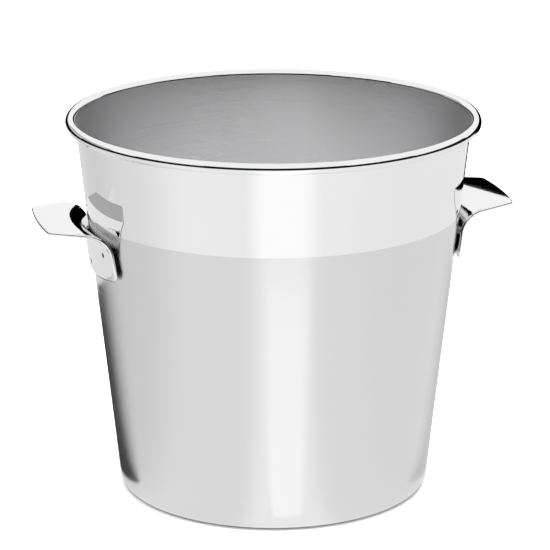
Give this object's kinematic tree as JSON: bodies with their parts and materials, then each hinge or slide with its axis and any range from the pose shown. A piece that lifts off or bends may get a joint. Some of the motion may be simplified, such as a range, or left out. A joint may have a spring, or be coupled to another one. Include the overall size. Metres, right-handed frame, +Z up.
{
  "type": "champagne bucket",
  "caption": "Open tapered steel bucket with a rolled rim, a polished upper band over a satin wall, and welded tab handles on both sides.",
  "frame": {"origin": "middle of the surface the bucket stands on, under its axis", "axes": "+Z up along the bucket's axis, +X through the middle of the right handle and -X through the left one"},
  "size_m": [0.251, 0.216, 0.2],
  "materials": {
    "drawn_steel": "satin wall under a mirror-polished upper band and rim",
    "polished_steel": "mirror-polished stainless steel",
    "weld_steel": "bare weld metal"
  },
  "bodies": {
    "root": {"bucket_body": "drawn_steel", "handle_left": "polished_steel", "handle_left_welds": "weld_steel", "handle_right": "polished_steel", "handle_right_welds": "weld_steel"}
  },
  "joints": []
}
